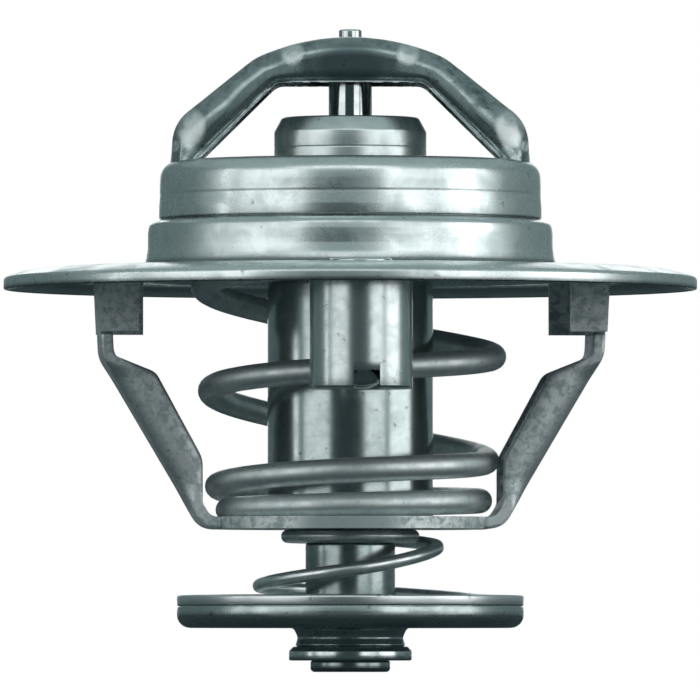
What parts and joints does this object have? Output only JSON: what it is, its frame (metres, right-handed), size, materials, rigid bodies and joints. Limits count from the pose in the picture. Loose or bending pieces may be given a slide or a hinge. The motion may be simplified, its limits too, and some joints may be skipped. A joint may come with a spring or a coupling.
{
  "type": "engine coolant thermostat",
  "caption": "Wax-element engine coolant thermostat insert with flange, bridge, sprung main valve, bypass disc and ball vent.",
  "frame": {"origin": "on the axis, level with the lower edge of the flange rim", "axes": "+Z towards the bridge, along the piston; X along the bridge; the ball vent hangs on the -Y side"},
  "size_m": [0.067, 0.067, 0.0621],
  "materials": {
    "pressed_steel": "satin",
    "bracket_steel": "satin",
    "spring_steel": "satin",
    "ground_steel": "polished",
    "plated_brass": "satin",
    "rubber": "matt",
    "ptfe": "matt",
    "wax": "matt"
  },
  "bodies": {
    "frame": {"upper_frame": "pressed_steel", "piston": "ground_steel", "lower_bracket": "bracket_steel", "vent_cage": "bracket_steel", "main_spring": "spring_steel"},
    "element": {"wax_cup": "plated_brass", "element_guide": "plated_brass", "piston_wiper": "rubber", "backup_washer": "ptfe", "rubber_sleeve": "rubber", "wax_charge": "wax", "main_valve": "pressed_steel", "valve_seal": "rubber", "bypass_stem": "plated_brass", "bypass_keeper": "bracket_steel", "bypass_spring": "spring_steel"},
    "bypass": {"bypass_disc": "pressed_steel"},
    "ball": {"vent_ball": "ground_steel"}
  },
  "joints": [
    {"name": "valve_lift", "type": "slide", "parent": "frame", "child": "element", "axis": [0, 0, -1], "range_m": [0, 0.008], "stiffness_N_per_m": 5200, "springref_m": -0.012, "deforming": ["main_spring"]},
    {"name": "bypass_slide", "type": "slide", "parent": "element", "child": "bypass", "axis": [0, 0, 1], "range_m": [0, 0.004], "stiffness_N_per_m": 2200, "springref_m": -0.004, "deforming": ["bypass_spring"]},
    {"name": "vent_lift", "type": "slide", "parent": "frame", "child": "ball", "axis": [0, 0, 1], "range_m": [0, 0.0051]}
  ]
}
